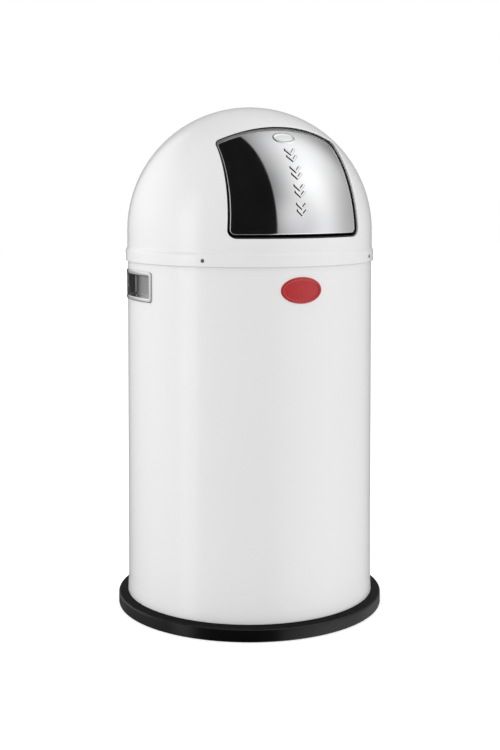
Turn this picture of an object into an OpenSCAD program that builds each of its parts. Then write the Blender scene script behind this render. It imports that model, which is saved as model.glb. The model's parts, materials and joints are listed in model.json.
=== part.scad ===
// Push-flap dome bin: a sheet-steel tube on a black base ring, with a lift-off
// dome lid, a sprung push flap and a galvanised inner liner. Millimetres.
// Origin: centre of the base on the floor. +Z is up and the flap faces -Y.

/* [Body] */
// Outer radius of the steel body tube
body_r = 185.4; // [184.4:0.2:186.4]
// Height of the body's rolled rim above the floor
rim_z = 537.9; // [530:0.1:560]
// Thickness of the body and dome sheet
sheet = 0.8; // [0.8:0.1:1.2]

/* [Base ring] */
// Outer radius of the base ring
base_r = 200.6; // [196:0.1:206]
// Height of the base ring's outer edge
base_h = 17.5; // [15:0.5:18.5]

/* [Dome lid] */
// Height of the dome's centre above the body rim
dome_up = 30.3; // [28:0.1:36]
// How far the collar bead hangs below the body rim
skirt_drop = 14.9; // [12:0.1:18]

/* [Flap opening] */
// Half width of the opening at its bottom edge
open_wb = 104.4; // [100:0.1:106]
// Half width of the opening under its top corners
open_wt = 96.5; // [92:0.1:98]
// Bottom edge of the opening, below the dome's centre
open_drop = 5.8; // [0:0.1:7]
// Crown of the opening's arched top edge, above the dome's centre
open_rise = 152.8; // [150:0.1:154]
// Radius of the arched top edge
arch_r = 220; // [200:5:260]

/* [Push flap] */
// Outer radius of the flap's bulge
flap_r = 181.2; // [180.6:0.1:181.6]
// Gap at each side of the flap
flap_gap = 3.8; // [3.4:0.1:5.5]
// Gap under the flap
flap_gap_b = 5; // [5:0.1:7]
// Gap over the flap
flap_gap_t = 1.5; // [1.5:0.1:2.5]
// How far the hinge rod lies in front of the dome's centre
hinge_fwd = 80; // [79:0.5:81]
// How far the hinge rod lies above the dome's centre
hinge_up = 137.8; // [137:0.1:138.5]
// Radius of the hinge rod
rod_r = 3; // [2.5:0.5:3]

/* [Grips and badge] */
// Width of a grip's frame along the body
grip_w = 104; // [96:1:108]
// Height of a grip's frame
grip_h = 44; // [40:1:48]
// Height of a grip's middle above the floor
grip_z = 489; // [470:1:490]
// Depth of a grip's recess
grip_d = 12; // [10:0.5:12]
// Width of the oval badge
badge_w = 62.5; // [50:0.5:70]
// Height of the oval badge
badge_h = 37.4; // [30:0.2:42]
// Turn of the badge from the flap's centre line, in degrees
badge_turn = -1.3; // [-3:0.1:3]

/* [Liner] */
// Outer radius of the liner's wall
liner_r = 160; // [150:1:160]
// Height of the liner's rim above the floor
liner_z = 503.3; // [480:0.1:503.3]
// Thickness of the liner's sheet
liner_t = 0.6; // [0.6:0.1:1]
// Radius of the bail's arc
bail_r = 166.5; // [166:0.1:166.5]

/* [Hidden] */

dome_r = body_r + 0.6;          // outer radius of the dome
bead_r = body_r + 3.2;          // outer radius of the collar bead
dome_z = rim_z + dome_up;       // height of the dome's centre
dome_i = dome_r - sheet;        // inner radius of the dome
skirt_z = rim_z - skirt_drop;   // bottom edge of the collar bead
foot_r = body_r + 1.2;          // the tube's flared foot
open_zb = dome_z - open_drop;
open_zt = dome_z + open_rise;
arch_z = open_zt - arch_r;
arch_zc = arch_z + 192;         // height where the sides meet the top corners
seal_o = dome_r - 4.8;          // outermost radius of the seal
seal_i = dome_r - 8.8;
lip_i = dome_r - 9.8;           // innermost radius of the opening's turned-in lip
hinge_p = [0, -hinge_fwd, dome_z + hinge_up];
ear_x = 40;
bracket_x = 52;
screw_z = rim_z - 6.4;
e = 0.02;

// ---- helpers ----

function arc(cx, cy, r, a0, a1, n) =
    [for (i = [0:n]) let (a = a0 + (a1 - a0) * i / n) [cx + r * cos(a), cy + r * sin(a)]];

// Outline of the flap opening seen from the front, moved in by ds at the sides,
// db at the bottom and dt at the top
function outline(ds, db, dt) =
    let (rb = max(3, 12 - (ds + db) / 2), rt = max(3, 10 - (ds + dt) / 2), ra = arch_r - dt,
         sl = (open_wb - open_wt) / (arch_zc - open_zb),
         zb = open_zb + db + rb, xb = open_wb - ds - sl * (db + rb) - rb,
         xt = open_wt - ds - rt, zt = arch_z + sqrt((ra - rt) * (ra - rt) - xt * xt),
         phi = atan2(zt - arch_z, xt), n = 28)
    concat(arc(xb, zb, rb, -90, 0, 8), arc(xt, zt, rt, 0, phi, 7),
        [for (i = [1:n - 1]) let (a = phi + (180 - 2 * phi) * i / n) [ra * cos(a), arch_z + ra * sin(a)]],
        arc(-xt, zt, rt, 180 - phi, 180, 7), arc(-xb, zb, rb, 180, 270, 8));

function rrect(w, h, r) =
    concat(arc(w / 2 - r, h / 2 - r, r, 0, 90, 5), arc(-w / 2 + r, h / 2 - r, r, 90, 180, 5),
        arc(-w / 2 + r, -h / 2 + r, r, 180, 270, 5), arc(w / 2 - r, -h / 2 + r, r, 270, 360, 5));

function oval(a, b) = [for (i = [0:59]) [a * cos(6 * i), b * sin(6 * i)]];

// A front-view outline pushed back along -Y, from the middle to 210 mm forward
module forward(points) { rotate([90, 0, 0]) linear_extrude(height = 210) polygon(points); }

// A side-view outline (y, z) as a plate of thickness t centred on x
module plate_x(x, t) { translate([x - t / 2, 0, 0]) rotate([90, 0, 90]) linear_extrude(height = t) children(); }

// Spherical shell about the dome's centre
module ball_shell(ro, ri) { translate([0, 0, dome_z]) difference() { sphere(r = ro, $fn = 180); sphere(r = ri, $fn = 180); } }
module ball(r) { translate([0, 0, dome_z]) sphere(r = r, $fn = 180); }

module tube(ro, ri, z0, z1) { translate([0, 0, z0]) difference() { cylinder(r = ro, h = z1 - z0, $fn = 180); translate([0, 0, -1]) cylinder(r = ri, h = z1 - z0 + 2, $fn = 180); } }

module rod_x(x0, x1, r, p, n = 48) { translate([x0, p[1], p[2]]) rotate([0, 90, 0]) cylinder(r = r, h = x1 - x0, $fn = n); }

module box(a, b) { translate(a) cube(b - a); }

module on_side(side) { if (side < 0) mirror([1, 0, 0]) children(); else children(); }

// ---- body ----

module base_ring() {
    color([0.06, 0.06, 0.065]) rotate_extrude($fn = 180) polygon([
        [170, 0], [base_r - 1.4, 0], [base_r - 0.4, 0.5], [base_r, 1.5], [base_r, base_h - 1.6], [base_r - 0.5, base_h - 0.5],
        [base_r - 1.7, base_h], [foot_r + 5, 19.6], [foot_r + 2.2, 20.9], [foot_r + 0.9, 21], [foot_r + 0.05, 20.2],
        [foot_r + 0.05, 4.9], [170, 4.9]]);
}

module body_shell() {
    rc = rim_z - 3;
    color([0.93, 0.93, 0.93]) difference() {
        rotate_extrude($fn = 180) polygon(concat(
            [[foot_r, 5], [foot_r, 21], [body_r + 0.6, 31], [body_r, 43]],
            arc(body_r - 3, rc, 3, 0, 240, 16), arc(body_r - 3, rc, 3 - sheet, 240, 0, 16),
            [[body_r - sheet, 43], [body_r + 0.6 - sheet, 31], [foot_r - sheet, 21], [foot_r - sheet, 5]]));
        for (s = [-1, 1]) translate([s * 170 - 25, 0, grip_z]) rotate([90, 0, 90])
            linear_extrude(height = 50) polygon(rrect(grip_w - 8.6, grip_h - 8.6, 3.5));
        rotate([0, 0, badge_turn]) for (x = [-18, 18]) translate([x, -150, grip_z + 0.7]) rotate([90, 0, 0]) cylinder(r = 1.6, h = 50, $fn = 32);
    }
}

module body_floor() {
    r = foot_r - sheet - 0.1;
    color([0.7, 0.71, 0.72]) rotate_extrude($fn = 180) polygon([
        [0, 6.2], [118, 6.2], [124, 5.1], [r - 3, 5.1], [r - 1, 5.7], [r, 7.6], [r, 19.5], [r - 1, 19.5],
        [r - 1, 8.2], [r - 1.8, 6.5], [r - 3.2, 6.1], [124.3, 6.1], [118.3, 7.2], [0, 7.2]]);
}

module badge_plate() {
    color([0.78, 0.06, 0.07]) rotate([0, 0, badge_turn]) {
        intersection() {
            translate([0, 0, grip_z + 0.7]) forward(oval(badge_w / 2, badge_h / 2));
            union() {
                tube(body_r + 0.8, body_r + 0.05, grip_z - 60, grip_z + 60);
                difference() {
                    tube(body_r + 1.6, body_r + 0.4, grip_z - 60, grip_z + 60);
                    translate([0, 0, grip_z + 0.7]) forward(oval(badge_w / 2 - 1.8, badge_h / 2 - 1.8));
                }
            }
        }
        for (x = [-18, 18]) translate([x, -179.5, grip_z + 0.7]) rotate([90, 0, 0]) cylinder(r = 1.5, h = body_r - 179.1, $fn = 32);
    }
}

module badge_push_nuts() {
    color([0.55, 0.56, 0.58]) rotate([0, 0, badge_turn]) for (x = [-18, 18])
        translate([x, -181.6, grip_z + 0.7]) rotate([90, 0, 0]) difference() {
            cylinder(r = 5, h = 1.2, $fn = 40);
            translate([0, 0, -1]) cylinder(r = 1.52, h = 4, $fn = 32);
        }
}

// One recessed grip, drawn on the +X side
module grip_part() {
    intersection() {
        translate([120, 0, grip_z]) rotate([90, 0, 90]) linear_extrude(height = 90) difference() {
            polygon(rrect(grip_w, grip_h, 4));
            polygon(rrect(grip_w - 12, grip_h - 12, 2.5));
        }
        union() {
            tube(body_r + 2, body_r + 0.05, grip_z - 40, grip_z + 40);
            tube(body_r + 1, body_r - grip_d - 1.2, grip_z - 40, grip_z + 40);
        }
        union() {
            translate([120, 0, grip_z]) rotate([90, 0, 90]) linear_extrude(height = 90) polygon(rrect(grip_w - 9.2, grip_h - 9.2, 3.2));
            tube(body_r + 3, body_r + 0.05, grip_z - 41, grip_z + 41);
        }
    }
    intersection() {
        translate([120, 0, grip_z]) rotate([90, 0, 90]) linear_extrude(height = 90) polygon(rrect(grip_w - 9.2, grip_h - 9.2, 3.2));
        tube(body_r - grip_d, body_r - grip_d - 1.2, grip_z - 40, grip_z + 40);
    }
}

module grip_retainer_part() {
    intersection() {
        translate([120, 0, grip_z]) rotate([90, 0, 90]) linear_extrude(height = 90) difference() {
            polygon(rrect(grip_w + 6, grip_h + 6, 5));
            polygon(rrect(grip_w - 8.9, grip_h - 8.9, 3.4));
        }
        tube(body_r - sheet - 0.1, body_r - sheet - 1.3, grip_z - 60, grip_z + 60);
    }
}

module grip_left() { color([0.82, 0.83, 0.85]) on_side(-1) grip_part(); }
module grip_right() { color([0.82, 0.83, 0.85]) grip_part(); }
module grip_left_retainer() { color([0.5, 0.51, 0.53]) on_side(-1) grip_retainer_part(); }
module grip_right_retainer() { color([0.5, 0.51, 0.53]) grip_retainer_part(); }

// ---- dome lid ----

module dome_shell() {
    z = rim_z;
    color([0.95, 0.95, 0.95]) union() {
        difference() {
            union() {
                intersection() { ball_shell(dome_r, dome_i); translate([-250, -250, dome_z]) cube([500, 500, 250]); }
                rotate_extrude($fn = 180) polygon([
                    [bead_r - 0.5, skirt_z], [bead_r, skirt_z + 0.6], [bead_r, z + 0.6], [bead_r - 0.4, z + 2],
                    [dome_r + 0.8, z + 3.8], [dome_r + 0.25, z + 5.6], [dome_r, z + 8.4], [dome_r, dome_z], [dome_i, dome_z], [dome_i, z + 8.2],
                    [dome_i + 0.25, z + 5.3], [dome_i + 0.75, z + 3.4], [bead_r - 0.4 - sheet, z + 1.5], [bead_r - sheet, z], [bead_r - sheet, skirt_z]]);
            }
            forward(outline(0, 0, 0));
            for (a = [45, 135, 225, 315]) rotate([0, 0, a]) translate([0, 0, screw_z]) rotate([90, 0, 0]) cylinder(r = 1.55, h = 220, $fn = 32);
        }
        intersection() {
            difference() { forward(outline(-1, -1, -1)); translate([0, 1, 0]) scale([1, 1.02, 1]) forward(outline(0, 0, 0)); }
            ball_shell(dome_r - 0.5, lip_i);
        }
    }
}

module dome_seat_ring() {
    z = rim_z;
    color([0.1, 0.1, 0.1]) difference() {
        rotate_extrude($fn = 180) polygon([
            [body_r + 0.45, z - 12], [bead_r - sheet - 0.1, z - 12], [bead_r - sheet - 0.1, z - 0.6],
            [body_r + 0.8, z + 1.8], [body_r - 6.4, z + 1.8], [body_r - 6.4, z + 0.3], [body_r + 0.45, z + 0.3]]);
        for (a = [45, 135, 225, 315]) rotate([0, 0, a]) translate([0, 0, screw_z]) rotate([90, 0, 0]) cylinder(r = 1.52, h = 220, $fn = 32);
    }
}

module collar_screws() {
    color([0.35, 0.36, 0.38]) for (a = [45, 135, 225, 315]) rotate([0, 0, a]) translate([0, 0, screw_z]) rotate([90, 0, 0]) {
        translate([0, 0, body_r + 0.55]) cylinder(r = 1.5, h = 3.4, $fn = 32);
        translate([0, 0, bead_r + 0.04]) cylinder(r = 2.6, h = 0.7, $fn = 32);
        translate([0, 0, bead_r + 0.6]) cylinder(r1 = 2.3, r2 = 1.6, h = 0.5, $fn = 32);
    }
}

module opening_seal() {
    color([0.05, 0.05, 0.05]) intersection() {
        difference() { forward(outline(0.05, 0.05, 0.05)); translate([0, 1, 0]) forward(outline(2, 1.8, 0.8)); }
        ball_shell(seal_o, seal_i);
    }
}

module bracket_part() {
    py = -hinge_fwd;
    pz = dome_z + hinge_up;
    difference() {
        union() {
            intersection() {
                plate_x(bracket_x, 2) union() {
                    translate([py, pz]) circle(r = 6.5, $fn = 48);
                    polygon([[py - 2, pz + 3], [py - 2, pz + 29], [py + 35, pz + 44], [py + 38, pz + 29], [py + 6.2, pz - 1.5]]);
                }
                ball(dome_i - 0.1);
            }
            intersection() {
                box([bracket_x - 1, py - 2, pz + 13], [bracket_x + 16, py + 36, pz + 40]);
                ball_shell(dome_i - 0.1, dome_i - 1.5);
            }
        }
        rod_x(30, 70, rod_r + 0.02, hinge_p);
    }
}

module hinge_bracket_left() { color([0.6, 0.61, 0.63]) on_side(-1) bracket_part(); }
module hinge_bracket_right() { color([0.6, 0.61, 0.63]) bracket_part(); }

module hinge_rod() { color([0.75, 0.76, 0.78]) rod_x(-58, 58, rod_r, hinge_p); }

module rod_caps() {
    color([0.3, 0.31, 0.33]) for (s = [-1, 1]) difference() {
        rod_x(s * 55.2 - 1.2, s * 55.2 + 1.2, 5, hinge_p);
        rod_x(s * 55.2 - 2, s * 55.2 + 2, rod_r + 0.01, hinge_p);
    }
}

// A torsion spring round the rod: its coil as a sleeve, one leg held by the bracket and a short leg towards the flap
module spring_part() {
    p = hinge_p;
    union() {
        difference() {
            rod_x(42.4, 49.6, 5.2, p);
            rod_x(42, 50, rod_r + 0.3, p);
        }
        translate([48.7, p[1] + 4.4, p[2]]) rotate([-35, 0, 0]) cylinder(r = 0.8, h = 24, $fn = 24);
        translate([43.3, p[1] - 4.4, p[2]]) rotate([160, 0, 0]) cylinder(r = 0.8, h = 12, $fn = 24);
    }
}

module return_spring_left() { color([0.45, 0.46, 0.48]) on_side(-1) spring_part(); }
module return_spring_right() { color([0.45, 0.46, 0.48]) spring_part(); }

// Rubber buffers inside the dome, beside the opening, that the flap's stop arms close against
buffer_x = 109.2;
buffer_dz = 26;                 // above the dome's centre

module flap_buffers() {
    color([0.08, 0.08, 0.08]) for (s = [-1, 1]) intersection() {
        translate([s * buffer_x, 0, dome_z + buffer_dz]) rotate([90, 0, 0]) cylinder(r = 4, h = 200, $fn = 48);
        ball_shell(dome_i - 0.1, flap_r - 6.9);
    }
}

// ---- push flap ----

module flap_panel() {
    color([0.85, 0.86, 0.87]) union() {
        intersection() {
            forward(outline(flap_gap, flap_gap_b, flap_gap_t));
            ball_shell(flap_r, flap_r - 1);
        }
        intersection() {
            difference() {
                forward(outline(flap_gap, flap_gap_b, flap_gap_t));
                translate([0, 1, 0]) scale([1, 1.02, 1]) forward(outline(flap_gap + 1, flap_gap_b + 1, flap_gap_t + 1));
            }
            ball_shell(flap_r - 0.5, flap_r - 4.7);
            box([-120, -210, open_zb], [120, -hinge_fwd - 1.5, open_zt]);
        }
    }
}

module ear_part() {
    py = -hinge_fwd;
    pz = dome_z + hinge_up;
    difference() {
        union() {
            intersection() {
                plate_x(ear_x, 2) union() {
                    translate([py, pz]) circle(r = 7.5, $fn = 48);
                    polygon([[py, pz + 7.4], [py - 32, pz + 5], [py - 60, pz - 11], [py - 82, pz - 54],
                        [py - 66, pz - 58], [py - 38, pz - 38], [py + 2, pz - 7.3]]);
                }
                ball(flap_r - 1.05);
            }
            intersection() {
                box([ear_x - 13, -200, pz - 51], [ear_x + 1, -100, pz - 16]);
                ball_shell(flap_r - 1.05, flap_r - 2.2);
            }
        }
        rod_x(20, 60, rod_r + 0.08, hinge_p);
    }
}

module flap_ear_left() { color([0.66, 0.67, 0.69]) on_side(-1) ear_part(); }
module flap_ear_right() { color([0.66, 0.67, 0.69]) ear_part(); }

// A stop arm: a foot on the flap, a step inwards and an arm that reaches behind the dome beside the opening
module stop_part() {
    intersection() {
        box([66, -200, dome_z + 20], [113, -60, dome_z + 32]);
        union() {
            intersection() { box([66, -200, dome_z], [84.6, -60, dome_z + 60]); ball_shell(flap_r - 1.05, flap_r - 2.25); }
            intersection() { box([83.4, -200, dome_z], [84.6, -60, dome_z + 60]); ball_shell(flap_r - 1.05, flap_r - 8.4); }
            intersection() { box([83.4, -200, dome_z], [113, -60, dome_z + 60]); ball_shell(flap_r - 7.2, flap_r - 8.4); }
        }
    }
}

module flap_stop_left() { color([0.6, 0.61, 0.63]) on_side(-1) stop_part(); }
module flap_stop_right() { color([0.6, 0.61, 0.63]) stop_part(); }

// ---- liner ----

module liner_bucket() {
    z = liner_z;
    r = liner_r;
    t = liner_t;
    difference() {
        color([0.72, 0.73, 0.75]) rotate_extrude($fn = 180) polygon(concat(
            [[r - 3, 7.5], [r - 1, 7.5], [r, 8.7], [r, z - 60], [r + 1, z - 57], [r, z - 54], [r, z - 4.5]],
            arc(r + 0.6, z - 2.2, 2.2, -90, 90, 10), [[r - t, z - 0.1], [r - t, z - 54], [r - t + 1, z - 57], [r - t, z - 60],
            [r - t, 13], [r - 1.6, 12.6], [0, 12.6], [0, 11.8], [r - 3, 11.8]]));
        for (s = [-1, 1]) for (y = [-13, 13]) translate([0, y, bail_pz]) rotate([0, s * 90, 0]) cylinder(r = 1.55, h = 170, $fn = 24);
    }
}

bail_pz = 490;
bail_p = [0, 0, bail_pz];
bail_tilt = 7;

module liner_ear_part() {
    difference() {
        union() {
            intersection() {
                translate([120, 0, bail_pz]) rotate([90, 0, 90]) linear_extrude(height = 60) polygon(rrect(38, 15, 5));
                tube(liner_r + 1.7, liner_r + 0.1, bail_pz - 20, bail_pz + 20);
            }
            rod_x(liner_r + 0.3, liner_r + 4, 5.5, bail_p);
        }
        rod_x(liner_r - 5, liner_r + 8, 2.48, bail_p);
        for (y = [-13, 13]) translate([140, y, bail_pz]) rotate([0, 90, 0]) cylinder(r = 1.55, h = 40, $fn = 24);
    }
}

module liner_ear_left() { color([0.62, 0.63, 0.65]) on_side(-1) liner_ear_part(); }
module liner_ear_right() { color([0.62, 0.63, 0.65]) liner_ear_part(); }

module liner_ear_rivets() {
    x = sqrt(liner_r * liner_r - 13 * 13);
    color([0.7, 0.71, 0.73]) for (s = [-1, 1]) for (y = [-13, 13]) translate([0, y, bail_pz]) rotate([0, s * 90, 0]) {
        translate([0, 0, x - 1.4]) cylinder(r = 1.5, h = 3.8, $fn = 24);
        translate([0, 0, x + 1.95]) cylinder(r = 2.6, h = 0.8, $fn = 24);
        translate([0, 0, x - 1.9]) cylinder(r = 2.6, h = 0.8, $fn = 24);
    }
}

// ---- bail ----

module bail_wire() {
    color([0.7, 0.71, 0.73]) union() {
        translate([0, 0, bail_pz]) rotate([bail_tilt, 0, 0]) rotate_extrude(angle = 180, $fn = 120) translate([bail_r, 0]) circle(r = 2.4, $fn = 32);
        for (s = [-1, 1]) {
            translate([s * bail_r, 0, bail_pz]) sphere(r = 2.6, $fn = 32);
            rod_x(min(s * (liner_r + 0.5), s * bail_r), max(s * (liner_r + 0.5), s * bail_r), 2.4, bail_p, 32);
        }
    }
}

module bail_grip() {
    color([0.12, 0.12, 0.12]) translate([0, 0, bail_pz]) rotate([bail_tilt, 0, 0]) rotate([0, 0, 71]) rotate_extrude(angle = 38, $fn = 120)
        translate([bail_r, 0]) difference() { circle(r = 6.4, $fn = 40); circle(r = 2.45, $fn = 32); }
}

base_ring();
body_shell();
body_floor();
badge_plate();
badge_push_nuts();
grip_left();
grip_right();
grip_left_retainer();
grip_right_retainer();
dome_shell();
dome_seat_ring();
collar_screws();
opening_seal();
hinge_bracket_left();
hinge_bracket_right();
hinge_rod();
rod_caps();
return_spring_left();
return_spring_right();
flap_buffers();
flap_panel();
flap_ear_left();
flap_ear_right();
flap_stop_left();
flap_stop_right();
liner_bucket();
liner_ear_left();
liner_ear_right();
liner_ear_rivets();
bail_wire();
bail_grip();
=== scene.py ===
import json
import math

import bmesh
import bpy
import numpy as np
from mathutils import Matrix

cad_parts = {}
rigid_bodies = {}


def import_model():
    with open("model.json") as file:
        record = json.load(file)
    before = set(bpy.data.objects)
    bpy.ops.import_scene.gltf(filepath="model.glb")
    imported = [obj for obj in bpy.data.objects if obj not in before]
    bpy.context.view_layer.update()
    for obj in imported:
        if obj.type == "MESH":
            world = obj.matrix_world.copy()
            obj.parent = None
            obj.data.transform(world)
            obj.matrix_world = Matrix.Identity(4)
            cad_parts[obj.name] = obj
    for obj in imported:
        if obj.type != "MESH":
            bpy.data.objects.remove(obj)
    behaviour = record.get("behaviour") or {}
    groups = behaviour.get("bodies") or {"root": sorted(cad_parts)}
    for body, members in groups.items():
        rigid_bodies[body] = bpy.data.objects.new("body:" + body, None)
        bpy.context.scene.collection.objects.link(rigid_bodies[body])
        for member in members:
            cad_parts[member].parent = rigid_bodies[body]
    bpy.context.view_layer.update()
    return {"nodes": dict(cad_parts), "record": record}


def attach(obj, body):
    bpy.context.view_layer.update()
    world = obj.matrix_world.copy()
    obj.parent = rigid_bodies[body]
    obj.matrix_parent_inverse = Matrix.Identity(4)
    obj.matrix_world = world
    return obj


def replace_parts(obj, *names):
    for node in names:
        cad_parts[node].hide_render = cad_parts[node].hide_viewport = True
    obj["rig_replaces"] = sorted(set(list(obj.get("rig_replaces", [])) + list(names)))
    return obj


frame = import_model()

NODES = frame["nodes"]

# ---------------------------------------------------------------- sizes, in mm, as the CAD has them
BODY_R, RIM_Z, SHEET = 185.4, 537.9, 0.8
BASE_R, BASE_H, FOOT_R = 200.6, 17.5, 186.6
DOME_R, DOME_Z = 186.0, 568.2
DOME_I = DOME_R - SHEET
BEAD_R, SKIRT_Z = 188.6, 523.0
OPEN_WB, OPEN_WT = 104.4, 96.5
OPEN_ZB, OPEN_ZT, ARCH_R = 562.4, 721.0, 220.0
ARCH_Z = OPEN_ZT - ARCH_R
ARCH_ZC = ARCH_Z + 192.0
LIP_I = 176.2
FLAP_R = 181.2
GAP, GAP_B, GAP_T = 3.8, 5.0, 1.5
TOP_SEEN = 1.5          # the flap's top edge as drawn
HINGE = (0.0, -80.0, 706.0)
SCREW_Z = 531.5
GRIP_Z, GRIP_D = 489.0, 12.0
BADGE_A, BADGE_B, BADGE_Z, BADGE_TURN = 31.25, 18.7, 489.7, -1.3
LINER_R, LINER_Z, LINER_T = 160.0, 503.3, 0.6
BAIL_R, BAIL_PZ, BAIL_TILT = 166.5, 490.0, 7.0


# ---------------------------------------------------------------- materials
class Mat:
    """A Principled material with its own noise set, in object space, in metres."""

    def __init__(self, name, **consts):
        self.mat = bpy.data.materials.new(name)
        self.mat.use_nodes = True
        self.nt = self.mat.node_tree
        self.nt.nodes.clear()
        out = self.add("ShaderNodeOutputMaterial")
        self.b = self.add("ShaderNodeBsdfPrincipled")
        self.link(self.b.outputs[0], out.inputs[0])
        self.co = self.add("ShaderNodeTexCoord").outputs["Object"]
        for k, v in consts.items():
            self.b.inputs[k.replace("_", " ")].default_value = v
        c = consts.get("Base_Color")
        if c:
            self.mat.diffuse_color = c

    def add(self, kind):
        return self.nt.nodes.new(kind)

    def link(self, a, b):
        self.nt.links.new(a, b)

    def mapped(self, scale=(1, 1, 1), rot=(0, 0, 0)):
        m = self.add("ShaderNodeMapping")
        m.inputs["Scale"].default_value = scale
        m.inputs["Rotation"].default_value = rot
        self.link(self.co, m.inputs["Vector"])
        return m.outputs[0]

    def noise(self, scale, detail=3.0, rough=0.5, vec=None, distort=0.0):
        n = self.add("ShaderNodeTexNoise")
        n.inputs["Scale"].default_value = scale
        n.inputs["Detail"].default_value = detail
        n.inputs["Roughness"].default_value = rough
        n.inputs["Distortion"].default_value = distort
        self.link(vec or self.co, n.inputs["Vector"])
        return n.outputs["Fac"]

    def xyz(self):
        s = self.add("ShaderNodeSeparateXYZ")
        self.link(self.co, s.inputs[0])
        return s.outputs

    def voronoi(self, scale, out="Distance", vec=None):
        v = self.add("ShaderNodeTexVoronoi")
        v.inputs["Scale"].default_value = scale
        self.link(vec or self.co, v.inputs["Vector"])
        return v.outputs[out]

    def ramp(self, fac, stops):
        r = self.add("ShaderNodeValToRGB")
        el = r.color_ramp.elements
        while len(el) < len(stops):
            el.new(0.5)
        for e, (p, c) in zip(el, stops):
            e.position = p
            e.color = (*c, 1.0) if len(c) == 3 else c
        self.link(fac, r.inputs[0])
        return r.outputs[0]

    def span(self, fac, lo, hi, a=0.3, b=0.7):
        m = self.add("ShaderNodeMapRange")
        m.inputs["From Min"].default_value = a
        m.inputs["From Max"].default_value = b
        m.inputs["To Min"].default_value = lo
        m.inputs["To Max"].default_value = hi
        self.link(fac, m.inputs["Value"])
        return m.outputs[0]

    def mix(self, fac, a, b, kind="MIX"):
        m = self.add("ShaderNodeMix")
        m.data_type = "RGBA"
        m.blend_type = kind
        for sock, v in ((m.inputs[0], fac), (m.inputs[6], a), (m.inputs[7], b)):
            if isinstance(v, (int, float)):
                sock.default_value = v
            elif isinstance(v, tuple):
                sock.default_value = (*v, 1.0)
            else:
                self.link(v, sock)
        return m.outputs[2]

    def math(self, op, a, b=0.0):
        m = self.add("ShaderNodeMath")
        m.operation = op
        for sock, v in ((m.inputs[0], a), (m.inputs[1], b)):
            if isinstance(v, (int, float)):
                sock.default_value = v
            else:
                self.link(v, sock)
        return m.outputs[0]

    def bump(self, height, strength, distance, normal=None):
        b = self.add("ShaderNodeBump")
        b.inputs["Strength"].default_value = strength
        b.inputs["Distance"].default_value = distance
        self.link(height, b.inputs["Height"])
        if normal is not None:
            self.link(normal, b.inputs["Normal"])
        return b.outputs[0]

    def set(self, **socks):
        for k, v in socks.items():
            self.link(v, self.b.inputs[k.replace("_", " ")])
        return self


def enamel():
    m = Mat("white_enamel", Base_Color=(0.80, 0.80, 0.797, 1), IOR=1.5, Coat_Weight=0.35, Coat_Roughness=0.06)
    col = m.ramp(m.noise(5.0, 2.0), [(0.25, (0.796, 0.797, 0.795)), (0.75, (0.806, 0.806, 0.803))])
    m.set(Base_Color=col, Roughness=m.span(m.noise(12.0, 3.0, 0.5), 0.23, 0.27, 0.25, 0.75))
    peel = m.bump(m.noise(420.0, 2.0, 0.5), 0.05, 0.00003)
    m.set(Normal=m.bump(m.noise(9.0, 1.0, 0.4), 0.06, 0.0004, peel))
    return m.mat


def plastic(name="black_plastic", lo=0.0022, hi=0.0042, r0=0.20, r1=0.28):
    m = Mat(name, Base_Color=(lo, lo, lo, 1), IOR=1.40)
    col = m.ramp(m.noise(18.0, 4.0, 0.6), [(0.3, (lo, lo, lo * 1.05)), (0.72, (hi, hi, hi * 1.05))])
    # the base ring's upper face is textured, its outer wall is not
    x, y, z = m.xyz()
    r = m.math("SQRT", m.math("ADD", m.math("MULTIPLY", x, x), m.math("MULTIPLY", y, y)))
    matt = m.math("MULTIPLY", m.span(r, 1.0, 0.0, 0.1980, 0.1995), m.span(z, 1.0, 0.0, 0.0235, 0.0245))
    m.set(Base_Color=col, Roughness=m.math("MAXIMUM", m.span(m.noise(70.0, 5.0, 0.65), r0, r1), m.math("MULTIPLY", matt, 0.95)))
    grain = m.bump(m.voronoi(1500.0), 0.16, 0.00006)
    m.set(Normal=m.bump(m.noise(420.0, 3.0, 0.6), 0.12, 0.00005, grain))
    return m.mat


def rubber():
    m = Mat("black_rubber", Base_Color=(0.012, 0.012, 0.012, 1), IOR=1.45)
    col = m.ramp(m.noise(40.0, 5.0, 0.6), [(0.3, (0.009, 0.009, 0.009)), (0.7, (0.019, 0.019, 0.019))])
    m.set(Base_Color=col, Roughness=m.span(m.noise(160.0, 4.0, 0.6), 0.55, 0.78),
          Normal=m.bump(m.noise(900.0, 3.0, 0.6), 0.2, 0.00006))
    return m.mat


def polished():
    m = Mat("polished_steel", Base_Color=(0.80, 0.805, 0.815, 1), Metallic=1.0)
    line = m.noise(1.0, 3.0, 0.6, vec=m.mapped((16.0, 900.0, 900.0)))
    wide = m.noise(11.0, 3.0, 0.55)
    col = m.ramp(wide, [(0.3, (0.790, 0.795, 0.805)), (0.7, (0.830, 0.833, 0.840))])
    rough = m.math("ADD", m.span(wide, 0.030, 0.060), m.span(line, 0.0, 0.035))
    m.set(Base_Color=col, Roughness=rough, Normal=m.bump(m.noise(20.0, 2.0, 0.4), 0.10, 0.0002))
    return m.mat


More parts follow.
